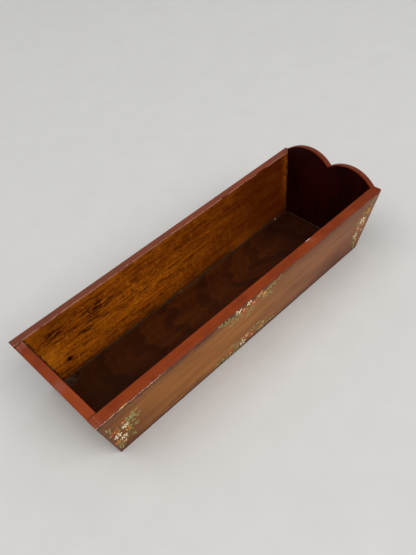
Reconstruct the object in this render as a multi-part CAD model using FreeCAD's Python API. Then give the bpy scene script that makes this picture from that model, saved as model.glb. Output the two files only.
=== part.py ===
import FreeCAD, Part
import math
import os

from FreeCAD import Rotation, Vector

# Open, free-standing paint box: a shallow trough of five thin boards, glued and pinned.
# All four walls lean outwards. The long sides cover the ends of both end boards, one end
# stands higher than the sides in two round lobes, and the floor lies inside the walls.
# Millimetres. +X runs along the box to the lobed end, -Y is the decorated side, +Z is up.
# The origin is on the table, under the middle of the whole box.

# Driving dimensions
foot_length = 274.0                  # outside of the end boards, at the table
foot_width = 84.8                    # outside of the sides, at the table
rim_height = 61.5                    # inner edge of the sides' rims above the table
side_lean = math.radians(9.5)        # from upright, outwards
low_end_lean = math.radians(12.7)    # from upright, outwards
lobed_end_lean = math.radians(15.8)  # from upright, outwards
board = 7.4                          # thickness of the sides and the low end
lobed_board = 6.2                    # thickness of the lobed end
floor_thickness = 6.0
low_end_drop = 0.4                   # the low end's rim under the sides' rims
notch_rise = 2.1                     # notch between the lobes above the sides' rims
front_lobe_step = 0.3                # foot of each hand-sawn lobe above the side's rim
back_lobe_step = 2.6
lobe_bulge = 7.9                     # each lobe's crown above the chord between its ends
outer_round = 1.2                    # outer arris of every rim
inner_round = 0.5                    # inner arris of every rim
corner_round = 3.0                   # top corners of the sides, beside the lobed end

# Headless pins, with the points nipped blunt so that they don't split the boards
pin_length = 17.0
pin_radius = 0.7
corner_pin_heights = (15.0, 46.0)
floor_pins_per_side = 3
floor_pin_margin = 42.0              # first floor pin from the end of the foot

spare = 20.0                         # extra on blanks that are trimmed to fit
blank_height = rim_height + 2 * spare
half_length = foot_length / 2
half_width = foot_width / 2


def side_reach(height, depth=0.0):
    """Y of the side's outer face, or of a plane that deep inside it, at a height."""
    return half_width + height * math.tan(side_lean) - depth / math.cos(side_lean)


def low_reach(height, depth=0.0):
    """Distance along -X of the low end's outer face, or of a plane that deep inside it."""
    return half_length + height * math.tan(low_end_lean) - depth / math.cos(low_end_lean)


def lobed_reach(height, depth=0.0):
    """X of the lobed end's outer face, or of a plane that deep inside it, at a height."""
    return half_length + height * math.tan(lobed_end_lean) - depth / math.cos(lobed_end_lean)


def rounded_face(corners, radii):
    """Flat face with straight edges, and an arc tangent to both edges at each round corner."""
    stations = []
    for index, corner in enumerate(corners):
        before = (corners[index - 1] - corner).normalize()
        after = (corners[(index + 1) % len(corners)] - corner).normalize()
        half_angle = before.getAngle(after) / 2
        setback = radii[index] / math.tan(half_angle)
        bisector = (before + after).normalize()
        crown = corner + bisector * radii[index] * (1 / math.sin(half_angle) - 1)
        stations.append((corner + before * setback, crown, corner + after * setback))
    edges = []
    for index, (start, crown, finish) in enumerate(stations):
        if radii[index] > 0:
            edges.append(Part.Arc(start, crown, finish).toShape())
        next_start = stations[(index + 1) % len(stations)][0]
        edges.append(Part.LineSegment(finish, next_start).toShape())
    return Part.Face(Part.Wire(edges))


def rim_section(half_foot, lean, thickness, height):
    """Corners of a leaning board's section as (outwards, up) pairs, with a square-cut rim."""
    inner_foot = half_foot - thickness / math.cos(lean)
    inner_rim = inner_foot + height * math.tan(lean)
    outer_rim = inner_rim + thickness * math.cos(lean)
    return (
        (half_foot, 0.0),
        (inner_foot, 0.0),
        (inner_rim, height),
        (outer_rim, height - thickness * math.sin(lean)),
    )


rim_radii = (0.0, 0.0, inner_round, outer_round)


def between_sides():
    """Tapered block that fills the space between the sides' inner faces."""
    foot = side_reach(0.0, board)
    top = side_reach(blank_height, board)
    length = foot_length + 4 * spare
    corners = [Vector(-length / 2, y, z) for y, z in
               ((-foot, 0.0), (foot, 0.0), (top, blank_height), (-top, blank_height))]
    return Part.Face(Part.makePolygon(corners + corners[:1])).extrude(Vector(length, 0, 0))


def between_ends(low_depth, lobed_depth):
    """Tapered block between two planes, each that deep inside its end board's outer face."""
    width = foot_width + 4 * spare
    outline = (
        (-low_reach(0.0, low_depth), 0.0),
        (lobed_reach(0.0, lobed_depth), 0.0),
        (lobed_reach(blank_height, lobed_depth), blank_height),
        (-low_reach(blank_height, low_depth), blank_height),
    )
    corners = [Vector(x, -width / 2, z) for x, z in outline]
    return Part.Face(Part.makePolygon(corners + corners[:1])).extrude(Vector(0, width, 0))


def back_side():
    """Long side: one section along the box, both ends cut to the end boards' lean."""
    section = rim_section(half_width, side_lean, board, rim_height)
    half_blank = half_length + 2 * spare
    corners = [Vector(-half_blank, out, up) for out, up in section]
    blank = rounded_face(corners, rim_radii).extrude(Vector(2 * half_blank, 0, 0))
    return blank.common(side_outline())


def side_outline():
    """Block with the outline of a side seen square on: sloping ends, one round top corner."""
    width = foot_width + 4 * spare
    outline = (
        (-low_reach(0.0), 0.0),
        (lobed_reach(0.0), 0.0),
        (lobed_reach(rim_height), rim_height),
        (-low_reach(rim_height), rim_height),
    )
    corners = [Vector(x, -width / 2, z) for x, z in outline]
    return rounded_face(corners, (0.0, 0.0, corner_round, 0.0)).extrude(Vector(0, width, 0))


def low_end():
    """End board as high as the sides, its two ends bevelled to the sides' inner faces."""
    section = rim_section(half_length, low_end_lean, board, rim_height - low_end_drop)
    corners = [Vector(-out, -half_width - spare, up) for out, up in section]
    blank = rounded_face(corners, rim_radii).extrude(Vector(0, foot_width + 2 * spare, 0))
    return blank.common(between_sides())


def lobe_arc(start, finish):
    """Arc of one lobe over its chord, in the board's own plane (across, up the board)."""
    chord = finish - start
    upright = Vector(-chord.y, chord.x, 0).normalize()
    if upright.y < 0:
        upright = upright * -1
    crown = (start + finish) / 2 + upright * lobe_bulge
    return Part.Arc(start, crown, finish).toShape()


def lobe_foot(hand, step):
    """Where a lobe meets a side, in the board's own plane, a step above the side's rim."""
    height = rim_height + step
    return Vector(hand * side_reach(height, board), height / math.cos(lobed_end_lean), 0)


def lobed_end():
    """Taller end board: two round lobes that meet in a notch over the middle."""
    front_foot = lobe_foot(-1, front_lobe_step)
    back_foot = lobe_foot(1, back_lobe_step)
    notch = Vector(0, (rim_height + notch_rise) / math.cos(lobed_end_lean), 0)
    blank_out = back_foot.x + spare
    straight = Part.makePolygon([
        back_foot,
        Vector(blank_out, back_foot.y, 0),
        Vector(blank_out, 0, 0),
        Vector(-blank_out, 0, 0),
        Vector(-blank_out, front_foot.y, 0),
        front_foot,
    ])
    lobes = [lobe_arc(front_foot, notch), lobe_arc(notch, back_foot)]
    outline = Part.Wire(straight.Edges + lobes)
    blank = Part.Face(outline).extrude(Vector(0, 0, lobed_board))
    blank = blank.makeFillet(inner_round, lobe_edges(blank, 0.0))
    blank = blank.makeFillet(outer_round, lobe_edges(blank, lobed_board))
    stand_up(blank)
    return blank.common(between_sides())


def lobe_edges(blank, depth):
    """The lobes' curved edges on the face that deep from the board's inner face."""
    return [
        edge for edge in blank.Edges
        if edge.Curve.TypeId == "Part::GeomCircle" and abs(edge.CenterOfMass.z - depth) < 0.01
    ]


def stand_up(blank):
    """Turn a flat blank (across, up the board, outwards) to its leaning place in the box."""
    across = Vector(0, 1, 0)
    up_board = Vector(math.sin(lobed_end_lean), 0, math.cos(lobed_end_lean))
    outwards = Vector(math.cos(lobed_end_lean), 0, -math.sin(lobed_end_lean))
    blank.Placement = FreeCAD.Placement(
        Vector(lobed_reach(0.0, lobed_board), 0, 0),
        Rotation(across, up_board, outwards, "XYZ"),
    )


def floor():
    """Inset bottom, its four edges bevelled to the leaning walls."""
    slab = Part.makeBox(
        foot_length, foot_width, floor_thickness, Vector(-half_length, -half_width, 0)
    )
    return slab.common(between_sides()).common(between_ends(board, lobed_board))


def pin(entry, direction):
    """Headless pin, driven in a direction; it starts proud of the face that it enters."""
    start = entry - direction * spare / 2
    return Part.makeCylinder(pin_radius, pin_length + spare / 2, start, direction)


def outer_block():
    """Block inside the outer faces of all four walls, which trims the pins flush."""
    foot = side_reach(0.0)
    top = side_reach(blank_height)
    corners = [Vector(-half_length - spare, y, z) for y, z in
               ((-foot, 0.0), (foot, 0.0), (top, blank_height), (-top, blank_height))]
    length = foot_length + 2 * spare
    trough = Part.Face(Part.makePolygon(corners + corners[:1])).extrude(Vector(length, 0, 0))
    return trough.common(between_ends(0.0, 0.0))


def corner_pins():
    """Pins through both sides into the end boards, square to the sides' faces."""
    pins = []
    for hand in (-1, 1):
        inwards = Vector(0, -hand * math.cos(side_lean), math.sin(side_lean))
        for height in corner_pin_heights:
            y = hand * side_reach(height)
            low_x = -low_reach(height, board / 2)
            lobed_x = lobed_reach(height, lobed_board / 2)
            pins.append(pin(Vector(low_x, y, height), inwards))
            pins.append(pin(Vector(lobed_x, y, height), inwards))
    return flush_group(pins)


def floor_pins():
    """Level pins through the sides and the end boards into the edges of the floor."""
    height = floor_thickness / 2
    spacing = (foot_length - 2 * floor_pin_margin) / (floor_pins_per_side - 1)
    pins = [
        pin(Vector(-low_reach(height), 0, height), Vector(1, 0, 0)),
        pin(Vector(lobed_reach(height), 0, height), Vector(-1, 0, 0)),
    ]
    for hand in (-1, 1):
        for index in range(floor_pins_per_side):
            x = -half_length + floor_pin_margin + index * spacing
            entry = Vector(x, hand * side_reach(height), height)
            pins.append(pin(entry, Vector(0, -hand, 0)))
    return flush_group(pins)


def flush_group(pins):
    """Pins as one group of separate solids, each dressed flush with the face it enters."""
    block = outer_block()
    return Part.makeCompound([blank.common(block).Solids[0] for blank in pins])


def build():
    """Every node of the box, by name."""
    corner_group = corner_pins()
    floor_group = floor_pins()
    back = back_side()
    boards = {
        "front_side": back.mirror(Vector(0, 0, 0), Vector(0, 1, 0)),
        "back_side": back,
        "low_end": low_end(),
        "lobed_end": lobed_end(),
        "floor_board": floor(),
    }
    nodes = {name: shape.cut(corner_group).cut(floor_group) for name, shape in boards.items()}
    nodes["corner_pins"] = corner_group
    nodes["floor_pins"] = floor_group
    return nodes


def centre_over_origin(nodes):
    """Move the box along X so that its middle is over the origin."""
    whole = Part.makeCompound(list(nodes.values())).optimalBoundingBox()
    shift = Vector(-(whole.XMin + whole.XMax) / 2, 0, 0)
    for shape in nodes.values():
        shape.translate(shift)


os.makedirs("parts", exist_ok=True)
nodes = build()
centre_over_origin(nodes)
for name, shape in nodes.items():
    shape.exportStep("parts/" + name + ".step")
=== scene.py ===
import math
import random

import bmesh
import bpy
from mathutils import Matrix, Vector


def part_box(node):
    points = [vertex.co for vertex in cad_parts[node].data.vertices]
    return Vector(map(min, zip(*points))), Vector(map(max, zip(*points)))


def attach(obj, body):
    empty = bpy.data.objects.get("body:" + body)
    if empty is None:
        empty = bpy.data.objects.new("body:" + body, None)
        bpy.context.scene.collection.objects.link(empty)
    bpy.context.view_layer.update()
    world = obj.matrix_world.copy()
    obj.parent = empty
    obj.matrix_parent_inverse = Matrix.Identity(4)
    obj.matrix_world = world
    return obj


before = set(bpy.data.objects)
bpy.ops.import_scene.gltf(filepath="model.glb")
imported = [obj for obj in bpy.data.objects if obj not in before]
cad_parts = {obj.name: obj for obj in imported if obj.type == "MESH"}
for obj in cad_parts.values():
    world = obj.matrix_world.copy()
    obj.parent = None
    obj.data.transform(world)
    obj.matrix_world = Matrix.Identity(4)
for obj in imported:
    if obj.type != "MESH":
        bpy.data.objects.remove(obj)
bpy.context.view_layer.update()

# The box in the row frame, in metres. +X runs to the lobed end, -Y is the decorated side.
side_lean = math.radians(9.5)
low_end_lean = math.radians(12.7)
lobed_end_lean = math.radians(15.8)
board = 0.0074             # thickness of the sides and of the low end
lobed_board = 0.0062
half_length = 0.137        # half the length and width over the outside, at the foot
half_width = 0.0424
foot_middle = -0.00281     # X of the middle of the foot
rim_height = 0.0615        # height of the sides' inner arris
notch_rise = 0.0021        # the lobed end's notch and the starts of its lobes, above that arris
front_lobe_step = 0.0003
back_lobe_step = 0.0026
lobe_bulge = 0.0079        # rise of a lobe's arc over its chord
floor_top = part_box("floor_board")[1].z

# The rim's paint: how far it laps down each face, and the waves of its lower edge, each as
# cycles a metre, detail, depth outside, depth inside and the step of its seed.
outer_lap = 0.0030
inner_lap = 0.0008
edge_waves = ((110, 4.0, 0.0050, 0.0014, 0), (280, 3.0, 0.0058, 0.0006, 2))

# Damage and marks: X along a side, and the distance up its face.
paint_chip = (-0.1305, 0.0592)
rim_chip_x = 0.0625
scratches_x = 0.0635
knot = (-0.1213, 0.0197)
# patches of dark open grain on the back side: X, up, and half the size along X, Y and Z
open_grain_patches = (
    (-0.084, 0.0440, (0.019, 0.008, 0.0115), 0.7),
    (-0.125, 0.0480, (0.017, 0.008, 0.0070), 0.8),
    (-0.100, 0.0330, (0.012, 0.008, 0.0040), 0.8),
)
# patches of painted greyish sheen on the low end's rim: Y, half the size along Y and how much shows
rim_sheen_patches = ((0.0415, 0.0062, 0.55), (-0.0090, 0.0074, 0.35))

# Relief of the grain and of the paint's edge.
side_relief = 0.00014
end_relief = 0.00008
floor_relief = 0.00006

# The floor's cathedral figure: its middle line, spacing and sharpness.
arch_axis_y = 0.014
arch_spacing = 0.034
arch_sharpness = 40.0

ROOT = "root"
origin = Vector((0, 0, 0))
x_axis = Vector((1, 0, 0))
y_axis = Vector((0, 1, 0))


# ---------------------------------------------------------------- places on the boards


class Board:
    """A leaning board: its outer foot line, the way up its face and the way into the wood."""

    def __init__(self, foot, outward, lean, thickness):
        self.foot = Vector(foot)
        self.up = Vector(outward) * math.sin(lean) + Vector((0, 0, math.cos(lean)))
        self.inward = Vector(outward) * -math.cos(lean) + Vector((0, 0, math.sin(lean)))
        self.thickness = thickness
        self.inner_foot = self.foot + self.inward * thickness
        self.rim = rim_height / math.cos(lean) - thickness * math.tan(lean)


class Side(Board):
    """A long side, with points on it by X and the distance up its face."""

    def outside(self, x, up, proud=0.0):
        """Point on the outer face, or as far proud of it."""
        return Vector((x, self.foot.y, 0)) + self.up * up - self.inward * proud

    def inside(self, x, up):
        """Point on the inner face."""
        return self.outside(x, up, -self.thickness)


front = Side((0, -half_width, 0), (0, -1, 0), side_lean, board)
back = Side((0, half_width, 0), (0, 1, 0), side_lean, board)
low = Board((foot_middle - half_length, 0, 0), (-1, 0, 0), low_end_lean, board)
lobed = Board((foot_middle + half_length, 0, 0), (1, 0, 0), lobed_end_lean, lobed_board)


def inner_y(height):
    """Distance of the sides' inner faces from the middle, at a height."""
    return half_width + height * math.tan(side_lean) - board / math.cos(side_lean)


def low_x(height, thickness=board):
    """X of the low end's inner face at a height, or of its outer face for no thickness."""
    outer = foot_middle - half_length - height * math.tan(low_end_lean)
    return outer + thickness / math.cos(low_end_lean)


def lobed_x(height, thickness=lobed_board):
    """X of the lobed end's inner face at a height, or of its outer face for no thickness."""
    outer = foot_middle + half_length + height * math.tan(lobed_end_lean)
    return outer - thickness / math.cos(lobed_end_lean)


# ---------------------------------------------------------------- material tools


def tone(red, green, blue):
    """Linear colour of an sRGB tone given in 0 to 255."""
    def linear(value):
        value /= 255
        return value / 12.92 if value <= 0.04045 else ((value + 0.055) / 1.055) ** 2.4
    return (linear(red), linear(green), linear(blue), 1.0)


class Coat:
    """A procedural material, with a short call for each kind of node that it uses."""

    def __init__(self, name, roughness, specular):
        self.material = bpy.data.materials.new(name)
        self.material.use_nodes = True
        self.tree = self.material.node_tree
        self.shader = self.tree.nodes["Principled BSDF"]
        self.shader.inputs["Roughness"].default_value = roughness
        self.shader.inputs["Specular IOR Level"].default_value = specular
        self.place = self.node("ShaderNodeTexCoord").outputs["Object"]

    def node(self, kind, **settings):
        made = self.tree.nodes.new(kind)
        for name, value in settings.items():
            setattr(made, name, value)
        return made

    def feed(self, socket, value):
        """Link a socket to another, or set it to a number, or to a tone where it is a colour."""
        if isinstance(value, bpy.types.NodeSocket):
            self.tree.links.new(value, socket)
        else:
            socket.default_value = tone(*value) if socket.type == "RGBA" else value

    def math(self, operation, first, second=0.0):
        made = self.node("ShaderNodeMath", operation=operation)
        self.feed(made.inputs[0], first)
        self.feed(made.inputs[1], second)
        return made.outputs[0]

    def plus(self, first, second):
        return self.math("ADD", first, second)

    def minus(self, first, second):
        return self.math("SUBTRACT", first, second)

    def times(self, *factors):
        """Product of several masks."""
        product = factors[0]
        for factor in factors[1:]:
            product = self.math("MULTIPLY", product, factor)
        return product

    def shift(self, by):
        made = self.node("ShaderNodeVectorMath", operation="SUBTRACT")
        self.feed(made.inputs[0], self.place)
        made.inputs[1].default_value = by
        return made.outputs[0]

    def distance(self, start, direction):
        """How far a point lies from a start, in metres along a direction."""
        made = self.node("ShaderNodeVectorMath", operation="DOT_PRODUCT")
        self.feed(made.inputs[0], self.shift(start))
        made.inputs[1].default_value = direction
        return made.outputs["Value"]

    def from_inner_face(self, plank):
        """How far a point lies from a board's inner face; less than 0 outside the box's well."""
        return self.distance(plank.inner_foot, plank.inward)

    def gap(self, centre, stretch=(1, 1, 1)):
        """Distance from a centre, in metres divided by a stretch on each axis."""
        made = self.node("ShaderNodeVectorMath", operation="DIVIDE")
        self.feed(made.inputs[0], self.shift(centre))
        made.inputs[1].default_value = stretch
        length = self.node("ShaderNodeVectorMath", operation="LENGTH")
        self.feed(length.inputs[0], made.outputs[0])
        return length.outputs["Value"]

    def patch(self, centre, stretch, softness):
        """1 inside an ellipsoid round a centre, fading to 0 over its outer part."""
        return self.below(self.gap(centre, stretch), 1.0 - softness, 1.0)

    def noise(self, cycles, detail=2.0, roughness=0.55, distortion=0.0, seed=0.0):
        """Noise with so many cycles a metre, given once or for each axis."""
        mapping = self.node("ShaderNodeMapping")
        self.feed(mapping.inputs["Vector"], self.place)
        if not isinstance(cycles, tuple):
            cycles = (cycles,) * 3
        mapping.inputs["Scale"].default_value = cycles
        mapping.inputs["Location"].default_value = (seed, seed * 1.7, seed * 0.6)
        made = self.node("ShaderNodeTexNoise")
        self.feed(made.inputs["Vector"], mapping.outputs[0])
        made.inputs["Scale"].default_value = 1.0
        made.inputs["Detail"].default_value = detail
        made.inputs["Roughness"].default_value = roughness
        made.inputs["Distortion"].default_value = distortion
        return made.outputs["Fac"]

    def step(self, value, low_edge, high_edge):
        """0 below the low edge, 1 above the high edge, smooth between."""
        made = self.node("ShaderNodeMapRange", interpolation_type="SMOOTHSTEP")
        self.feed(made.inputs["Value"], value)
        self.feed(made.inputs["From Min"], low_edge)
        self.feed(made.inputs["From Max"], high_edge)
        return made.outputs["Result"]

    def below(self, value, low_edge, high_edge):
        """1 below the low edge, 0 above the high edge, smooth between."""
        return self.minus(1.0, self.step(value, low_edge, high_edge))

    def pulse(self, value, rise, fall):
        """Rises from 0 to 1 over one pair of edges and falls back over another."""
        return self.minus(self.step(value, *rise), self.step(value, *fall))

    def between(self, share, first, second):
        """Number that goes from the first to the second as the share goes from 0 to 1."""
        made = self.node("ShaderNodeMix", data_type="FLOAT")
        self.feed(made.inputs["Factor"], share)
        self.feed(made.inputs[2], first)
        self.feed(made.inputs[3], second)
        return made.outputs[0]

    def mix(self, share, first, second):
        """Colour that goes from the first to the second as the share goes from 0 to 1."""
        made = self.node("ShaderNodeMix", data_type="RGBA")
        self.feed(made.inputs["Factor"], share)
        self.feed(made.inputs[6], first)
        self.feed(made.inputs[7], second)
        return made.outputs[2]

    def lay(self, under, *layers):
        """Colours laid one over another, each as thickly as the product of its masks."""
        for colour, *masks in layers:
            under = self.mix(self.times(*masks), under, colour)
        return under

    def colour(self, value):
        self.feed(self.shader.inputs["Base Color"], value)

    def roughness(self, value):
        self.feed(self.shader.inputs["Roughness"], value)

    def bump(self, height, depth):
        """Relief of a height map from 0 to 1, over a depth in metres."""
        made = self.node("ShaderNodeBump")
        made.inputs["Strength"].default_value = 1.0
        made.inputs["Distance"].default_value = depth
        self.feed(made.inputs["Height"], height)
        self.feed(self.shader.inputs["Normal"], made.outputs[0])


def stretched(axis, along, across):
    """Cycles a metre on the three axes, with their own number along one axis."""
    cycles = [across] * 3
    cycles[axis] = along
    return tuple(cycles)


def grain(coat, axis, seed, short=1.0):
    """Grain along X (axis 0) or Z (axis 2), as broad bands, bands, streaks and pores."""
    broad = coat.noise(stretched(axis, 5 * short, 70), 3.0, seed=seed)
    bands = coat.noise(stretched(axis, 7 * short, 230), 3.0, 0.6, 0.3, seed=seed + 1)
    streaks = coat.noise(stretched(axis, 16 * short, 620), 4.0, 0.6, 0.25, seed=seed + 3)
    pores = coat.noise(stretched(axis, 70 * short, 2300), 2.0, seed=seed + 7)
    return broad, bands, streaks, pores


def stained(coat, grain_maps, base, band, streak):
    """Wood in its grain's colours.

    base is a tone, a deeper tone and the edges between them on the broad map; band and streak
    are each a tone, its edges on their own map and how thickly it lies."""
    broad, bands, streaks, _ = grain_maps
    light, deep, *edges = base
    wood = coat.mix(coat.step(broad, *edges), light, deep)
    for marks, (dark, low_edge, high_edge, thickly) in ((bands, band), (streaks, streak)):
        wood = coat.lay(wood, (dark, coat.step(marks, low_edge, high_edge), thickly))
    return wood


def plain_brown(coat, grain_maps, streak_edge, streak_full):
    """Brown wood of the faces that the photograph doesn't show."""
    return stained(
        coat, grain_maps,
        base=((142, 90, 44), (118, 74, 38), 0.3, 0.7),
        band=((96, 54, 26), 0.42, 0.66, 0.5),
        streak=((84, 46, 22), streak_edge, streak_full, 0.5),
    )


def raise_grain(coat, streaks, pores, cover, depth):
    """Relief of the streaks and pores, with the paint standing over them."""
    relief = coat.plus(coat.times(streaks, 0.6), coat.times(pores, 0.4))
    coat.bump(coat.plus(relief, coat.times(cover, 0.8)), depth)


def rim_paint(coat, past_edge, axis, seed):
    """Terracotta paint, brushed along an axis: where it covers the wood, and its tint."""
    cover = coat.step(past_edge, -0.00006, 0.0001)
    brush = coat.noise(stretched(axis, 30, 1100), 3.0, seed=seed + 5)
    blotch = coat.noise(70, 3.0, seed=seed + 9)
    tint = coat.mix(coat.step(blotch, 0.35, 0.7), (133, 54, 16), (118, 45, 13))
    brushed = coat.step(brush, 0.42, 0.75)
    far = coat.step(coat.distance(origin, x_axis), 0.06, 0.15)
    return cover, coat.lay(tint, ((104, 38, 12), brushed, 0.5), ((92, 32, 14), far, 0.35))


def board_places(coat, plank):
    """Distance up a board's face, distance into it, and 1 on its inner face."""
    up = coat.distance(plank.foot, plank.up)
    depth = coat.distance(plank.foot, plank.inward)
    inside = coat.step(depth, plank.thickness * 0.88, plank.thickness * 0.97)
    return up, depth, inside


def past_rim_edge(coat, plank, up, inside, seed):
    """Distance above the lower edge of the rim's paint, more ragged outside than inside."""
    edge = coat.minus(plank.rim, coat.between(inside, outer_lap, inner_lap))
    for cycles, detail, outer_depth, inner_depth, seed_step in edge_waves:
        wave = coat.minus(coat.noise(cycles, detail, 0.65, seed=seed + seed_step), 0.5)
        depth = coat.between(inside, outer_depth, inner_depth)
        edge = coat.plus(edge, coat.times(wave, depth))
    return coat.minus(up, edge)


# ---------------------------------------------------------------- finishes of the boards


def front_finish():
    """Honey-brown satin wood outside, with a dirty band and worn edge under the rim's paint."""
    coat = Coat("front_side_varnish", roughness=0.42, specular=0.1)
    grain_maps = grain(coat, 0, 2, short=2.2)
    _, bands, streaks, pores = grain_maps
    x = coat.distance(origin, x_axis)
    up, depth, inside = board_places(coat, front)

    # honey-coloured wood that turns dull towards the lobed end
    honey = stained(
        coat, grain_maps,
        base=((172, 109, 42), (147, 87, 32), 0.3, 0.7),
        band=((112, 63, 22), 0.42, 0.66, 0.38),
        streak=((94, 51, 18), 0.48, 0.7, 0.38),
    )
    dull = coat.mix(coat.step(bands, 0.36, 0.74), (150, 96, 61), (126, 78, 52))
    dull = coat.lay(dull, ((98, 62, 46), coat.step(streaks, 0.46, 0.7), 0.38))
    far_boundary_noise = coat.noise((16, 60, 60), 3.0, seed=5)
    far = coat.step(coat.plus(x, coat.times(far_boundary_noise, 0.10)), -0.02, 0.14)

    # blotches and a ragged dark edge above the foot, most of them at the far end
    foot_blotches = coat.noise((95, 130, 130), 4.0, 0.65, seed=6)
    above_foot = coat.minus(up, coat.times(foot_blotches, 0.020))
    foot_edge_noise = coat.noise(210, 4.0, 0.6, seed=4)
    past_foot_edge = coat.minus(up, coat.times(foot_edge_noise, 0.0052))
    far_low = coat.minus(coat.step(x, 0.03, 0.12), coat.step(above_foot, 0.004, 0.026))
    far_low = coat.math("MAXIMUM", far_low, 0.0)
    blotchy = coat.step(coat.noise((30, 60, 60), 3.0, 0.6, seed=3), 0.30, 0.62)

    # the low end's cut, and the wood beside it in painted shade
    from_cut = coat.distance(low.foot, low.inward)
    outer_face = coat.below(depth, 0.0005, 0.0012)
    shaded_corner_wood = coat.mix(coat.step(streaks, 0.40, 0.62), (108, 50, 20), (72, 32, 12))

    # under the paint
    past_edge = past_rim_edge(coat, front, up, inside, 2)
    fading = coat.between(coat.step(x, -0.07, 0.06), 0.9, 0.3)
    ragged_band = coat.step(coat.noise((80, 420, 420), 3.0, seed=8), 0.28, 0.56)
    broken = coat.step(coat.noise((190, 240, 240), 3.0, 0.6, seed=7), 0.44, 0.54)
    outer = coat.lay(
        honey,
        (dull, far, 0.9),
        # darker along the foot, in blotches and a ragged line
        ((92, 44, 22), coat.below(above_foot, -0.009, 0.003), 0.6),
        ((62, 24, 14), coat.below(past_foot_edge, -0.0012, 0.0010), 0.85),
        ((84, 38, 20), far_low, blotchy, 0.6),
        # pale mauve-grey band along the low end's cut, and painted shade beside it
        ((122, 84, 76), coat.below(from_cut, 0.0008, 0.0024), outer_face, 0.75),
        (shaded_corner_wood, coat.below(from_cut, 0.002, 0.058), 0.6),
        # painted shade, a ragged dark band and a broken crack under the paint
        ((104, 64, 38), coat.step(past_edge, -0.016, -0.003), 0.36),
        ((94, 54, 28), coat.step(past_edge, -0.0060, -0.0006), ragged_band, fading),
        ((62, 34, 14), coat.step(past_edge, -0.0027, -0.0017), broken, fading),
    )
    inner = coat.mix(coat.step(bands, 0.3, 0.72), (132, 72, 14), (96, 48, 8))
    wood = coat.mix(inside, outer, inner)

    # the paint, paler at the low end and worn pale along its edge there
    cover, tint = rim_paint(coat, past_edge, 0, 2)
    y_streaks = coat.step(coat.noise((500, 90, 500), 3.0, seed=9), 0.4, 0.6)
    pale_end = coat.below(from_cut, 0.003, 0.009)
    painted = coat.mix(cover, wood, coat.lay(tint, ((158, 96, 74), pale_end, y_streaks, 0.28)))
    line = coat.math("ABSOLUTE", coat.minus(past_edge, 0.0002))
    line = coat.below(line, 0.00035, 0.0008)
    worn = coat.step(coat.noise(190, 3.0, 0.6, seed=10), 0.36, 0.5)
    near = coat.below(x, -0.108, -0.084)
    outside = coat.minus(1.0, inside)

    # a chip below the paint, and a chip and scratches across the rim
    chip = coat.patch(front.outside(*paint_chip), (0.0040, 0.0030, 0.0007), 0.3)
    scratched_at = front.outside(scratches_x, front.rim, -board * 0.6)
    scratched = coat.patch(scratched_at, (0.0050, 0.0055, 0.004), 0.6)
    scratch = coat.step(coat.noise((900, 60, 60), 2.0, seed=11), 0.5, 0.62)
    rim_chip = coat.patch(front.inside(rim_chip_x, front.rim), (0.0036, 0.0011, 0.0011), 0.5)
    coat.colour(coat.lay(
        painted,
        ((222, 166, 140), line, worn, near, outside),
        ((236, 196, 118), chip),
        ((200, 150, 128), scratched, scratch, cover, 0.35),
        ((222, 186, 168), rim_chip, 0.85),
    ))
    coat.roughness(coat.between(cover, 0.42, 0.48))
    raise_grain(coat, streaks, pores, cover, side_relief)
    return coat.material


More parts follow.
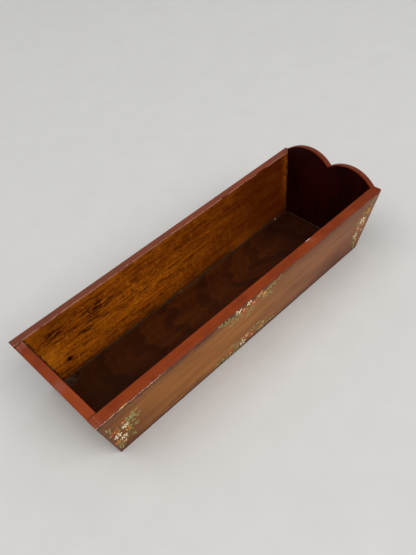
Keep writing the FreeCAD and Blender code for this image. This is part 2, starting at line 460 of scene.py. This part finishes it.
def back_finish():
    """Amber glossy wood inside, with dark open streaks and a knot; plain brown outside."""
    coat = Coat("back_side_varnish", roughness=0.3, specular=0.18)
    grain_maps = grain(coat, 0, 12, short=2.0)
    _, _, streaks, pores = grain_maps
    x = coat.distance(origin, x_axis)
    far, far_end = coat.step(x, -0.10, 0.14), coat.step(x, 0.05, 0.10)
    up, _, inside = board_places(coat, back)

    # figured amber wood
    amber = stained(
        coat, grain_maps,
        base=((196, 106, 14), (160, 78, 8), 0.3, 0.72),
        band=((124, 54, 5), 0.44, 0.66, 0.5),
        streak=((94, 38, 4), 0.46, 0.62, 0.65),
    )
    rays = coat.step(coat.noise((330, 60, 110), 3.0, 0.6, 0.5, seed=15), 0.52, 0.66)
    fleck = coat.noise((420, 420, 900), 3.0, 0.6, seed=14)
    dash = coat.step(coat.noise((75, 430, 430), 2.0, 0.6, 0.3, seed=17), 0.54, 0.62)

    # parts of it that are darker or paler
    duller = coat.patch(back.inside(-0.082, 0.0260), (0.046, 0.02, 0.022), 0.9)
    near_top = coat.patch(back.inside(-0.122, 0.0560), (0.034, 0.010, 0.016), 0.9)
    # a painted highlight near the low end
    highlight = coat.patch(back.inside(-0.136, 0.0300), (0.020, 0.020, 0.018), 0.9)
    blotch = coat.step(coat.noise((22, 55, 55), 3.0, 0.6, seed=19), 0.5, 0.72)
    by_lobed = coat.below(coat.from_inner_face(lobed), 0.001, 0.010)
    high, unflecked = coat.step(up, 0.008, 0.034), coat.below(fleck, 0.42, 0.62)

    # dark open grain in patches, a dark ragged strip in the near corner, and the knot
    marks = 0.0
    for patch_x, patch_up, size, softness in open_grain_patches:
        mark = coat.patch(back.inside(patch_x, patch_up), size, softness)
        marks = coat.math("MAXIMUM", mark, marks)
    open_grain = coat.step(coat.noise((110, 560, 560), 2.0, 0.6, 0.6, seed=16), 0.46, 0.53)
    uneven = coat.times(coat.noise(260, 3.0, seed=20), 0.0052)
    near_corner_dark = coat.below(coat.plus(coat.from_inner_face(low), uneven), 0.0026, 0.0042)
    ring = coat.patch(back.inside(*knot), (0.0060, 0.0050, 0.0036), 0.9)
    heart = coat.patch(back.inside(*knot), (0.0030, 0.004, 0.0023), 0.5)
    inner = coat.lay(
        amber,
        ((214, 124, 26), rays, 0.4),
        ((84, 32, 4), coat.step(fleck, 0.50, 0.64), 0.6),
        ((60, 20, 4), coat.step(pores, 0.52, 0.7), 0.5),
        # painted shade towards the lobed end, darker under the rim, painted shade low on the face,
        # and a band of dirt and painted contact shade along the floor
        ((74, 22, 2), far, 0.82),
        ((70, 17, 1), far_end, 0.45),
        ((96, 40, 4), duller, 0.32),
        ((56, 18, 3), dash, coat.between(far, 0.65, 0.30)),
        ((84, 32, 4), coat.step(up, 0.040, 0.060), 0.35),
        ((84, 34, 4), near_top, 0.62),
        ((84, 34, 4), coat.below(up, 0.008, 0.020), 0.45),
        ((58, 26, 8), coat.below(up, floor_top + 0.0004, floor_top + 0.0040), 0.6),
        # a painted highlight near the low end, and paler in blotches and beside the lobed end
        ((222, 130, 28), highlight, 0.35),
        ((196, 106, 16), blotch, coat.between(far_end, 0.32, 0.08)),
        ((186, 92, 10), by_lobed, high, unflecked, 0.6),
        ((44, 12, 3), marks, open_grain, 0.9),
        ((38, 20, 10), near_corner_dark, 0.85),
        ((74, 28, 5), ring, 0.6),
        ((22, 6, 2), heart),
    )
    wood = coat.mix(inside, plain_brown(coat, grain_maps, 0.48, 0.7), inner)

    # the paint, with a painted greyish reflection strongest near the low end, and worn pale along
    # its inner edge with a painted highlight there
    past_edge = past_rim_edge(coat, back, up, inside, 13)
    cover, tint = rim_paint(coat, past_edge, 0, 13)
    tint = coat.lay(tint, ((96, 60, 46), coat.between(far, 0.45, 0.10)))
    line = coat.below(coat.math("ABSOLUTE", past_edge), 0.0003, 0.0006)
    worn = coat.step(coat.noise(110, 3.0, 0.6, seed=18), 0.34, 0.50)
    painted = coat.mix(cover, wood, tint)
    coat.colour(coat.lay(painted, ((206, 146, 116), line, worn, inside, 0.7)))
    coat.roughness(coat.between(cover, 0.3, 0.46))
    raise_grain(coat, streaks, pores, cover, side_relief)
    return coat.material


def end_wood(coat, plank, seed):
    """Near-black maroon inside, a dark stain deepened with painted shade, and brown wood outside,
    both with upright grain.

    Gives the wood, the distance up the face, 1 on the inner face, the streaks and the pores."""
    grain_maps = grain(coat, 2, seed)
    # near-black maroon: a dark stain with painted shade in it
    dark = stained(
        coat, grain_maps,
        base=((34, 3, 2), (20, 1, 1), 0.3, 0.7),
        band=((42, 4, 2), 0.45, 0.7, 0.5),
        streak=((18, 1, 1), 0.5, 0.72, 0.4),
    )
    up, _, inside = board_places(coat, plank)
    wood = coat.mix(inside, plain_brown(coat, grain_maps, 0.5, 0.72), dark)
    return wood, up, inside, grain_maps[2], grain_maps[3]


def low_end_finish():
    """Low end: dark stain with painted shade, a painted rim with patches of painted greyish sheen,
    and dark joints to the sides.
    """
    coat = Coat("low_end_stain_and_shade", roughness=0.42, specular=0.1)
    wood, up, inside, streaks, pores = end_wood(coat, low, 21)
    past_edge = past_rim_edge(coat, low, up, inside, 23)
    cover, tint = rim_paint(coat, past_edge, 1, 23)
    brighter = coat.step(coat.distance(origin, y_axis), 0.030, -0.030)
    # patches of painted greyish sheen on the rim, broken up in streaks
    sheen = 0.0
    for y, size, share in rim_sheen_patches:
        place = coat.patch((low.foot.x - 0.0120, y, 0.0600), (0.02, size, 0.02), 0.8)
        sheen = coat.math("MAXIMUM", coat.times(place, share), sheen)
    y_streaks = coat.step(coat.noise((700, 60, 700), 3.0, seed=27), 0.3, 0.6)
    tint = coat.lay(tint, ((160, 68, 26), brighter, 0.45), ((140, 90, 78), sheen, y_streaks))
    to_front, to_back = coat.from_inner_face(front), coat.from_inner_face(back)
    joint = coat.below(coat.math("MINIMUM", to_front, to_back), 0.0006, 0.0013)
    coat.colour(coat.lay(coat.mix(cover, wood, tint), ((44, 18, 12), joint, 0.85)))
    raise_grain(coat, streaks, pores, cover, end_relief)
    return coat.material


def lobed_end_finish():
    """Lobed end: dark stain deepened with painted shade, with paint over the two round lobes' rim.
    """
    coat = Coat("lobed_end_stain_and_shade", roughness=0.4, specular=0.06)
    wood, up, inside, streaks, pores = end_wood(coat, lobed, 31)
    y = coat.distance(origin, y_axis)
    front_rim = lobe_rim_depth(coat, y, up, -1, front_lobe_step)
    back_rim = lobe_rim_depth(coat, y, up, 1, back_lobe_step)
    rim_depth = coat.between(coat.step(y, -0.00002, 0.00002), front_rim, back_rim)
    ragged = coat.minus(coat.noise(200, 3.0, seed=33), 0.5)
    lap = coat.plus(coat.times(ragged, 0.0012), 0.0011)
    below_lobes = coat.below(up, lobed.rim - 0.010, lobed.rim - 0.009)
    past_edge = coat.minus(coat.minus(lap, rim_depth), below_lobes)
    cover, tint = rim_paint(coat, past_edge, 1, 33)
    # a painted reddish glow of light in the middle of the dark inner face
    glow = coat.patch((lobed_x(0.050), 0.004, 0.050), (0.03, 0.034, 0.026), 0.95)
    wood = coat.lay(wood, ((50, 4, 4), glow, inside, 0.5))
    painted = coat.mix(cover, wood, coat.lay(tint, ((84, 34, 20), 0.3)))
    line = coat.below(coat.math("ABSOLUTE", past_edge), 0.0002, 0.0005)
    worn = coat.step(coat.noise(220, 3.0, 0.6, seed=35), 0.40, 0.56)
    outside = coat.minus(1.0, inside)
    coat.colour(coat.lay(painted, ((190, 128, 102), line, worn, outside, 0.45)))
    raise_grain(coat, streaks, pores, cover, end_relief)
    return coat.material


def lobe_rim_depth(coat, y, up, hand, step):
    """How far a point lies inside one lobe's arc, in the board's own plane."""
    foot_height = rim_height + step
    foot = Vector((hand * inner_y(foot_height), foot_height / math.cos(lobed_end_lean)))
    notch = Vector((0, (rim_height + notch_rise) / math.cos(lobed_end_lean)))
    chord = notch - foot
    square = Vector((-chord.y, chord.x)).normalized()
    if square.y < 0:
        square = -square
    radius = (chord.length ** 2 / 4 + lobe_bulge ** 2) / (2 * lobe_bulge)
    centre = (foot + notch) / 2 - square * (radius - lobe_bulge)
    # the arc's own plane starts at the inner foot line, and up at the outer one
    across = coat.minus(y, centre.x)
    rise = coat.minus(up, centre.y - lobed_board * math.tan(lobed_end_lean))
    reach = coat.plus(coat.math("POWER", across, 2.0), coat.math("POWER", rise, 2.0))
    return coat.minus(radius, coat.math("SQRT", reach))


def floor_finish():
    """Very dark stained wood: nested cathedral arches that open towards the lobed end."""
    coat = Coat("floor_stain", roughness=0.5, specular=0.05)
    x = coat.distance(origin, x_axis)
    off_axis = coat.distance(y_axis * arch_axis_y, y_axis)
    bend = coat.minus(coat.noise((13, 36, 36), 3.5, 0.55, seed=41), 0.5)
    arch = coat.times(coat.math("POWER", off_axis, 2.0), arch_sharpness)
    along = coat.plus(coat.minus(x, arch), coat.times(bend, 0.075))
    saw = coat.math("FRACT", coat.math("DIVIDE", along, arch_spacing))
    faint = coat.step(coat.noise((18, 50, 50), 2.0, seed=47), 0.2, 0.5)
    late = coat.times(coat.pulse(saw, (0.50, 0.88), (0.88, 1.0)), faint)
    fine_saw = coat.math("FRACT", coat.math("DIVIDE", along, arch_spacing / 4))
    thin = coat.pulse(fine_saw, (0.40, 0.82), (0.84, 1.0))
    fine = coat.noise((26, 1300, 1300), 3.0, seed=43)
    broad = coat.noise((12, 60, 60), 3.0, seed=45)
    wood = coat.lay(
        coat.mix(coat.step(broad, 0.35, 0.7), (73, 32, 5), (58, 22, 3)),
        ((27, 8, 2), late, 0.58),
        ((27, 8, 2), thin, 0.22),
        ((30, 9, 2), coat.step(fine, 0.46, 0.7), 0.45),
        # darker towards both ends: painted shade beside the end boards
        ((30, 10, 2), coat.below(x, -0.12, -0.03), 0.55),
        ((26, 6, 2), coat.step(x, 0.05, 0.12), 0.75),
    )

    # dust along the back side, most of it in the near corner
    to_back, to_low = coat.from_inner_face(back), coat.from_inner_face(low)
    along_back = coat.times(coat.below(to_back, 0.0004, 0.0045), 0.18)
    near_low, near_back = coat.below(to_low, 0.002, 0.016), coat.below(to_back, 0.002, 0.012)
    dusty = coat.math("MAXIMUM", along_back, coat.times(near_low, near_back, 0.6))
    clots = coat.step(coat.noise(240, 4.0, 0.6, seed=49), 0.35, 0.65)
    coat.colour(coat.lay(wood, ((78, 68, 54), dusty, clots)))
    coat.bump(coat.plus(coat.times(fine, 0.7), coat.times(late, 0.3)), floor_relief)
    return coat.material


def speckled(name, roughness, specular, cycles, detail, seed, light, deep, relief):
    """Plain material in two tones, mixed and raised by one noise."""
    coat = Coat(name, roughness, specular)
    spots = coat.noise(cycles, detail, seed=seed)
    coat.colour(coat.mix(spots, light, deep))
    coat.bump(spots, relief)
    return coat.material


def dress(node, material):
    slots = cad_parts[node].data.materials
    slots.clear()
    slots.append(material)


dress("front_side", front_finish())
dress("back_side", back_finish())
dress("low_end", low_end_finish())
dress("lobed_end", lobed_end_finish())
dress("floor_board", floor_finish())
# steel pin ends under the stain
for pins in ("corner_pins", "floor_pins"):
    dress(pins, speckled("stained_pin", 0.45, 0.3, 900, 2.0, 51,
                         (110, 70, 42), (84, 54, 36), 0.00004))


# ---------------------------------------------------------------- pieces of the scene


def add_piece(name, points, faces, materials, slots):
    """Smooth closed mesh that rides on the box, with its faces turned outwards."""
    mesh = bpy.data.meshes.new(name)
    mesh.from_pydata(points, [], faces)
    for material in materials:
        mesh.materials.append(material)
    mesh.polygons.foreach_set("material_index", slots)
    mesh.polygons.foreach_set("use_smooth", [True] * len(faces))
    surface = bmesh.new()
    surface.from_mesh(mesh)
    bmesh.ops.recalc_face_normals(surface, faces=surface.faces)
    surface.to_mesh(mesh)
    surface.free()
    piece = bpy.data.objects.new(name, mesh)
    bpy.context.scene.collection.objects.link(piece)
    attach(piece, ROOT)


# ---------------------------------------------------------------- painted sprays

PALETTE = {
    "cream": ((255, 247, 216), (246, 224, 180)),
    "orange_red": ((222, 84, 36), (190, 62, 26)),
    "pink": ((236, 164, 128), (214, 132, 98)),
    "ochre": ((236, 168, 66), (206, 136, 48)),
    "leaf": ((170, 170, 106), (136, 140, 82)),
    "deep_leaf": ((112, 116, 62), (84, 90, 48)),
}
stroke_crown = 0.00016     # how far a brush stroke stands off the wood at its middle
stroke_sunk = 0.00003
full_half_width = 0.0004   # a stroke at least this wide each way has its full crown
stem_width = 0.00045
dab_length = 0.0032
dab_width = 0.0011
edge_clearance = 0.0006    # bare wood between the sprays and the side's edges
rim_clearance = 0.0022

# Each spray has vines, flowers and dabs, in millimetres. A vine is its start, bend and tip as X
# and distance up the face, with its pairs of leaves and their length. A flower is X, up, radius,
# petals, colour, eye and turn. Dabs are X, up, and their reach each way along X and up.
mm = 0.001
SPRAYS = {
    # posy by the low end: daisies, with leaves that reach up and down the end
    "near_spray": (
        (((-137, 33), (-133, 39), (-124.5, 41.5), 3, 4.6),
         ((-140, 31), (-145, 36), (-146, 43), 3, 4.6),
         ((-133, 28), (-127, 29), (-121.5, 33.5), 3, 4.6),
         ((-137, 22), (-135, 13), (-136.5, 7.5), 3, 4.4),
         ((-135, 20), (-129, 17), (-126.5, 12.5), 3, 4.4),
         ((-140, 20), (-141, 15), (-140, 10.5), 2, 4.2),
         ((-133, 36), (-129, 38), (-126, 37), 3, 4.2),
         ((-131, 22), (-127, 22), (-124, 23), 2, 4)),
        ((-139, 26.5, 3.6, 6, "cream", "orange_red", 0.2),
         (-132, 32.5, 3.3, 6, "cream", "ochre", 0.6),
         (-141, 35, 3.6, 5, "orange_red", "ochre", 0.1),
         (-133.5, 39, 2.8, 5, "orange_red", "cream", 0.9),
         (-134.5, 19, 3.2, 6, "cream", "orange_red", 0.5),
         (-140, 18, 2.8, 5, "ochre", "orange_red", 0.4),
         (-130, 25.5, 3.2, 5, "ochre", "orange_red", 0.3),
         (-135, 12, 2.4, 5, "pink", "ochre", 0.7)),
        (-136, 25, 8.5, 14),
    ),
    # garland that hangs from the rim's paint in the middle of the side
    "rim_garland": (
        (((-22, 56.5), (-30, 52.5), (-40, 56.5), 5, 4.6),
         ((6, 56), (12, 52.5), (21, 56.5), 4, 4.4),
         ((-16, 52), (-22, 47), (-27.5, 46), 3, 4.4),
         ((-6, 50), (-7, 46), (-11, 42.5), 3, 4.2),
         ((3, 51), (7, 48), (12.5, 45.5), 3, 4.2)),
        ((-22.5, 56.2, 3.6, 5, "cream", "orange_red", 0.0),
         (-16.9, 51.2, 3.3, 5, "orange_red", "ochre", 0.5),
         (-11.3, 56.2, 3, 5, "cream", "ochre", 1.0),
         (-5.7, 51.2, 3.6, 5, "orange_red", "cream", 1.5),
         (-0.1, 56.2, 3.3, 5, "pink", "ochre", 2.0),
         (5.5, 51.2, 3, 5, "ochre", "orange_red", 2.5)),
        (-9, 52, 17, 4.5),
    ),
    # low garland along the bottom edge, under the first one
    "foot_garland": (
        (((-16, 6), (-28, 3.5), (-41.5, 5.5), 6, 4.4),
         ((-4, 7), (6, 4.5), (18, 5.5), 5, 4.4),
         ((-14, 8), (-19, 12), (-25, 14), 3, 4.2),
         ((-6, 9), (-4, 14), (1, 15.5), 3, 4.2)),
        ((-15, 6.2, 3.6, 5, "cream", "orange_red", 0.3),
         (-4.5, 7, 3.4, 5, "orange_red", "cream", 0.8),
         (-9.8, 11.5, 2.6, 5, "pink", "ochre", 0.1),
         (-28.5, 6.2, 3, 5, "orange_red", "ochre", 0.5),
         (6, 7, 2.6, 5, "ochre", "orange_red", 0.2)),
        (-11, 8.5, 21, 4),
    ),
    # upright spray that follows the sloping far end of the side
    "far_spray": (
        (((135, 39), (139, 45), (143, 53), 4, 4.6),
         ((129, 30), (124.5, 19), (128.5, 6), 7, 4.6),
         ((130, 28), (127, 33), (126.5, 39), 3, 4.2)),
        ((132, 36.5, 3.8, 6, "cream", "orange_red", 0.2),
         (138, 44, 3.4, 5, "ochre", "orange_red", 0.6),
         (129, 29, 3.4, 5, "orange_red", "cream", 0.1),
         (126.5, 22, 3, 5, "cream", "ochre", 0.4),
         (135, 30.5, 2.8, 5, "pink", "ochre", 0.9),
         (129, 14, 2.6, 5, "ochre", "orange_red", 0.2)),
        (131, 30, 7, 18),
    ),
}
DAB_COLOURS = ("leaf", "cream", "ochre", "deep_leaf") * 3 + ("orange_red", "leaf") * 2


def stroke_paint(colour):
    """Brushed poster paint, lighter where it lies thick."""
    coat = Coat("spray_" + colour, roughness=0.5, specular=0.25)
    light, shade = PALETTE[colour]
    ridges = coat.noise(1500, 3.0, seed=71)
    coat.colour(coat.mix(coat.step(ridges, 0.35, 0.65), shade, light))
    coat.bump(ridges, 0.00005)
    return coat.material


def ray(angle, length=1.0):
    """Vector of a length at an angle, in the plane of the side's face."""
    return Vector((math.cos(angle), math.sin(angle))) * length


class Stroke:
    """One comma stroke: a round head that tapers to a tail along a bent line."""

    def __init__(self, colour, head, heading, length, width, bend=0.0):
        self.colour = colour
        self.head = head
        self.heading = heading
        self.length = length
        self.width = width
        self.bend = bend

    def station(self, share):
        """Middle of the stroke, its sideways direction and its half width, at a share."""
        turn = self.bend * (share - 0.5)
        middle = self.head + ray(self.heading + turn / 2) * self.length * share
        belly = math.sin(math.pi * share ** 0.6)
        return middle, ray(self.heading + turn + math.pi / 2), self.width / 2 * belly


def add_stroke(stroke, points, faces):
    """Closed dome over a stroke's outline, sunk a little into the wood."""
    first = len(points)
    for share in (0.0, 1.0):
        middle, _, _ = stroke.station(share)
        points.append(front.outside(middle.x, middle.y, -stroke_sunk))
    shares = (0.06, 0.2, 0.38, 0.56, 0.74, 0.9)
    section = (-1, -0.6, 0, 0.6, 1)
    for share in shares:
        middle, side, half = stroke.station(share)
        crown = stroke_crown * min(1.0, half / full_half_width)
        shoulder = crown * 0.8
        rises = (-stroke_sunk, shoulder, crown, shoulder, -stroke_sunk)
        for across, rise in zip(section, rises):
            spot = middle + side * half * across
            points.append(front.outside(spot.x, spot.y, rise))
    ring = len(section)
    rows = [first + 2 + ring * index for index in range(len(shares))]
    for across in range(ring):
        beyond = (across + 1) % ring
        faces.append((first, rows[0] + beyond, rows[0] + across))
        faces.append((first + 1, rows[-1] + across, rows[-1] + beyond))
        for row, following in zip(rows, rows[1:]):
            faces.append((row + across, row + beyond, following + beyond, following + across))


def on_side(spot):
    """Whether a point (x, up the face) is on a side's outer face, clear of its edges."""
    height = spot.y * math.cos(side_lean)
    first, last = low_x(height, 0.0) + edge_clearance, lobed_x(height, 0.0) - edge_clearance
    return first < spot.x < last and edge_clearance < spot.y < front.rim - rim_clearance


def stays_on_side(stroke):
    """Whether the whole of a stroke lies on the side."""
    stations = [stroke.station(share) for share in (0.0, 0.3, 0.6, 1.0)]
    return all(on_side(middle + side * half * hand)
               for middle, side, half in stations for hand in (-1, 1))


def paint_spray(name, strokes):
    """One mesh for a spray on the front side, with a material for each of its colours."""
    strokes = [stroke for stroke in strokes if stays_on_side(stroke)]
    used = [colour for colour in PALETTE if any(stroke.colour == colour for stroke in strokes)]
    points, faces, slots = [], [], []
    for stroke in strokes:
        before = len(faces)
        add_stroke(stroke, points, faces)
        slots += [used.index(stroke.colour)] * (len(faces) - before)
    add_piece(name, points, faces, [SPRAY_PAINT[colour] for colour in used], slots)


def flower(x, up, radius, petals, colour, eye, turn):
    """Daisy of comma strokes that point outwards round a dot."""
    middle, radius = Vector((x, up)) * mm, radius * mm
    strokes = []
    for index in range(petals):
        angle = turn + 2 * math.pi * index / petals
        tip = middle + ray(angle, radius)
        strokes.append(Stroke(colour, tip, angle + math.pi, radius * 0.85, radius * 0.46, 0.3))
    dot = middle - ray(0.0, radius * 0.22)
    strokes.append(Stroke(eye, dot, 0.0, radius * 0.5, radius * 0.42))
    return strokes


def vine(start, bend, tip, pairs, leaf_length):
    """Thin bent stem with leaves in pairs along it and one leaf at its tip."""
    start, bend, tip = (Vector(point) * mm for point in (start, bend, tip))
    leaf_length *= mm

    def spot(share):
        """Point and heading of the stem, on a quadratic curve."""
        place = start * (1 - share) ** 2 + bend * 2 * share * (1 - share) + tip * share ** 2
        tangent = (bend - start) * (1 - share) + (tip - bend) * share
        return place, math.atan2(tangent.y, tangent.x)

    strokes = []
    pieces = 5
    for index in range(pieces):
        place, heading = spot(index / pieces)
        following, _ = spot((index + 1) / pieces)
        reach = (following - place).length * 1.25
        strokes.append(Stroke("deep_leaf", place, heading, reach, stem_width))
    for index in range(pairs):
        share = (index + 0.6) / pairs
        place, heading = spot(share)
        for hand in (-1, 1):
            length = leaf_length * dice.uniform(0.8, 1.15) * (1.15 - 0.35 * share)
            angle = heading + hand * dice.uniform(0.5, 0.8)
            tint = "leaf" if dice.random() < 0.7 else "deep_leaf"
            head, width = place + ray(angle, length), leaf_length * 0.29
            strokes.append(Stroke(tint, head, angle + math.pi, length, width, hand * 0.5))
    place, heading = spot(1.0)
    head = place + ray(heading, leaf_length)
    strokes.append(Stroke("leaf", head, heading + math.pi, leaf_length * 1.1, leaf_length * 0.3))
    return strokes


def dabs(x, up, reach, rise):
    """Slanting dabs scattered round a middle."""
    strokes = []
    for colour in DAB_COLOURS:
        place = Vector((x + dice.uniform(-reach, reach), up + dice.uniform(-rise, rise))) * mm
        strokes.append(Stroke(colour, place, dice.uniform(0.5, 1.2), dab_length, dab_width, 0.4))
    return strokes


dice = random.Random(5)
SPRAY_PAINT = {colour: stroke_paint(colour) for colour in PALETTE}
for spray, (vines, flowers, scattered) in SPRAYS.items():
    spray_strokes = []
    for layout in vines:
        spray_strokes += vine(*layout)
    for layout in flowers:
        spray_strokes += flower(*layout)
    paint_spray(spray, spray_strokes + dabs(*scattered))


# ---------------------------------------------------------------- dust in the corners

dust_top = 0.055           # height that the dust reaches in the upright corners
dust_gap = 0.0015          # bare ends of the dust lines along the floor
dust_spacing = 0.0022      # between the sections of a dust line
dust_sunk = 0.00015
least_dust = 0.00008
glue_place = (0.1138, 0.0355)
glue_radius = 0.0008


def dust_finish():
    """Grey-green dust and old glue."""
    coat = Coat("corner_dust", roughness=0.9, specular=0.1)
    clots = coat.noise(420, 4.0, 0.65, seed=81)
    dull = coat.mix(coat.step(clots, 0.35, 0.6), (28, 18, 10), (58, 48, 32))
    specks = coat.step(coat.noise(120, 4.0, 0.6, seed=82), 0.60, 0.72)
    coat.colour(coat.mix(specks, dull, (100, 88, 64)))
    coat.bump(clots, 0.0002)
    return coat.material


def corner_line(name, start, stop, first_wall, second_wall, width, material):
    """Irregular fillet along the line where two boards meet, as wide as width on each.

    first_wall and second_wall are directions along the two faces, away from the corner."""
    length = (stop - start).length
    along = (stop - start) / length
    steps = max(8, int(length / dust_spacing))
    sunk = -(first_wall + second_wall).normalized() * dust_sunk
    points, faces = [], []
    for index in range(steps + 1):
        share = index / steps
        taper = min(1.0, share * 12, (1 - share) * 12)
        near_first = width * taper * dice.uniform(0.45, 1.25) + least_dust
        near_second = width * taper * dice.uniform(0.45, 1.25) + least_dust
        base = start + along * length * share
        belly = (first_wall * near_first + second_wall * near_second) * dice.uniform(0.30, 0.42)
        points.append(base + sunk)
        points.append(base + first_wall * near_first + sunk * 0.3)
        points.append(base + belly)
        points.append(base + second_wall * near_second + sunk * 0.3)
    ring = 4
    for row in range(0, steps * ring, ring):
        for across in range(ring):
            beyond = (across + 1) % ring
            faces.append((row + across, row + beyond, row + ring + beyond, row + ring + across))
    faces.append(tuple(range(ring)))
    faces.append(tuple(steps * ring + across for across in reversed(range(ring))))
    add_piece(name, points, faces, [material], [0] * len(faces))


def corner_dust():
    """Dust along the floor's back and far edges, and up two of the corners."""
    dust = dust_finish()

    def corner(end_x, height, hand=1, gap=0.0):
        """Point where an end meets a side at a height, moved in along the end by a gap."""
        return Vector((end_x(height), hand * (inner_y(height) - gap), height))

    near, far = corner(low_x, floor_top), corner(lobed_x, floor_top)
    gap = x_axis * dust_gap
    far_back, far_front = (corner(lobed_x, floor_top, hand, dust_gap) for hand in (1, -1))
    for name, start, stop, first_wall, second_wall, width in (
        ("dust_along_back", near + gap, far - gap, -y_axis, back.up, 0.00055),
        ("dust_along_lobed_end", far_back, far_front, -x_axis, lobed.up, 0.0006),
        ("dust_up_far_corner", far, corner(lobed_x, dust_top), -x_axis, -y_axis, 0.0008),
        ("dust_up_near_corner", near, corner(low_x, dust_top), x_axis, -y_axis, 0.0006),
    ):
        corner_line(name, start, stop, first_wall, second_wall, width, dust)


def glue_drop(name, place, radius, material):
    """Low irregular drop that has dried on the floor."""
    rounds, rings, crown = 9, 3, radius * 0.45
    sunk_edge, sunk_base = 0.00004, 0.00008
    points = [(place.x, place.y, place.z + crown)]
    for ring in range(1, rings + 1):
        height = crown * math.cos(math.pi / 2 * ring / rings) - sunk_edge
        for index in range(rounds):
            out = ray(2 * math.pi * index / rounds, radius * ring / rings * dice.uniform(0.8, 1.15))
            points.append((place.x + out.x, place.y + out.y, place.z + height))
    points.append((place.x, place.y, place.z - sunk_base))
    faces = []
    for index in range(rounds):
        beyond = (index + 1) % rounds
        faces.append((0, 1 + index, 1 + beyond))
        for inner in range(1, 1 + (rings - 1) * rounds, rounds):
            outer = inner + rounds
            faces.append((inner + index, outer + index, outer + beyond, inner + beyond))
        last = 1 + (rings - 1) * rounds
        faces.append((last + index, len(points) - 1, last + beyond))
    add_piece(name, points, faces, [material], [0] * len(faces))


corner_dust()
dried_glue = speckled("dried_glue", 0.35, 0.4, 1500, 3.0, 91,
                      (214, 200, 176), (168, 150, 122), 0.00005)
glue_drop("glue_drop", Vector((*glue_place, floor_top)), glue_radius, dried_glue)


# ---------------------------------------------------------------- studio

floor_reach = 4.0
backdrop_tone = tone(206, 205, 202)
backdrop_from = 1.0        # the floor turns to the backdrop's tone over these distances
backdrop_full = 2.6
room_light = (0.92, 0.95, 1.0, 1)
room_strength = 0.38
lamp_target = Vector((0, 0, 0.03))
lamps = (                  # name, place, width of the disk and power in watts
    ("window", (0.3, -2.25, 2.55), 2.6, 66.0),
    ("ceiling", (-1.35, 0.6, 3.3), 3.0, 44.0),
)
# the photograph's camera, fitted to the box's corners
camera_place = (-0.2172, -0.2713, 0.3874)
camera_view = (0.4355, 0.5573, -0.7069)
camera_upright = (0.5527, 0.4544, 0.6987)
camera_lens = 39.77        # mm, on a sensor 36 mm wide
camera_sensor = 36.0


def studio():
    """Plain pale floor, an even room and two soft lamps."""
    mesh = bpy.data.meshes.new("floor_sweep")
    square = ((-1, -1), (1, -1), (1, 1), (-1, 1))
    mesh.from_pydata([(x * floor_reach, y * floor_reach, 0) for x, y in square], [], [(0, 1, 2, 3)])
    ground = bpy.data.objects.new("floor_sweep", mesh)
    bpy.context.scene.collection.objects.link(ground)
    pale = Coat("pale_floor", roughness=0.9, specular=0.2)
    mottle = pale.noise(40, 4.0, seed=61)
    pale.colour(pale.mix(mottle, (208, 206, 201), (216, 214, 210)))
    meet_backdrop(pale)
    mesh.materials.append(pale.material)
    room()
    for lamp in lamps:
        soft_light(*lamp)


def seen_directly(tree):
    """1 for what the eye and gloss see, 0 for light that bounces between surfaces."""
    path = tree.nodes.new("ShaderNodeLightPath")
    seen = path.outputs["Is Camera Ray"]
    for kind in ("Is Glossy Ray", "Is Transmission Ray"):
        either = tree.nodes.new("ShaderNodeMath")
        either.operation = "MAXIMUM"
        tree.links.new(seen, either.inputs[0])
        tree.links.new(path.outputs[kind], either.inputs[1])
        seen = either.outputs[0]
    return seen


def meet_backdrop(pale):
    """Far from the box the floor turns to the backdrop's tone, so that no horizon shows."""
    distant = pale.step(pale.gap(origin), backdrop_from, backdrop_full)
    glow = pale.node("ShaderNodeEmission")
    glow.inputs["Color"].default_value = backdrop_tone
    blend = pale.node("ShaderNodeMixShader")
    pale.feed(blend.inputs[0], pale.times(distant, seen_directly(pale.tree)))
    pale.feed(blend.inputs[1], pale.shader.outputs[0])
    pale.feed(blend.inputs[2], glow.outputs[0])
    pale.feed(pale.tree.nodes["Material Output"].inputs["Surface"], blend.outputs[0])


def room():
    """Even light from all round, which shows as a pale backdrop to the eye and in gloss."""
    world = bpy.data.worlds.new("soft_room")
    world.use_nodes = True
    tree = world.node_tree
    light = tree.nodes["Background"]
    light.inputs["Color"].default_value = room_light
    light.inputs["Strength"].default_value = room_strength
    backdrop = tree.nodes.new("ShaderNodeBackground")
    backdrop.inputs["Color"].default_value = backdrop_tone
    choice = tree.nodes.new("ShaderNodeMixShader")
    tree.links.new(seen_directly(tree), choice.inputs["Fac"])
    tree.links.new(light.outputs[0], choice.inputs[1])
    tree.links.new(backdrop.outputs[0], choice.inputs[2])
    tree.links.new(choice.outputs[0], tree.nodes["World Output"].inputs["Surface"])
    bpy.context.scene.world = world


def soft_light(name, place, size, power):
    """Round area lamp that points at the box."""
    lamp = bpy.data.lights.new(name, "AREA")
    lamp.shape = "DISK"
    lamp.size = size
    lamp.energy = power
    holder = bpy.data.objects.new(name, lamp)
    holder.location = place
    holder.rotation_euler = (lamp_target - Vector(place)).to_track_quat("-Z", "Y").to_euler()
    bpy.context.scene.collection.objects.link(holder)


def camera():
    """Camera at the photograph's place and angle."""
    view = Vector(camera_view).normalized()
    right = view.cross(Vector(camera_upright)).normalized()
    upright = right.cross(view)
    lens = bpy.data.cameras.new("camera")
    lens.lens = camera_lens
    lens.sensor_width = camera_sensor
    holder = bpy.data.objects.new("camera", lens)
    turn = Matrix((right, upright, -view)).transposed().to_4x4()
    holder.matrix_world = Matrix.Translation(camera_place) @ turn
    bpy.context.scene.collection.objects.link(holder)
    bpy.context.scene.camera = holder


studio()
camera()
bpy.context.scene.view_settings.view_transform = "Standard"
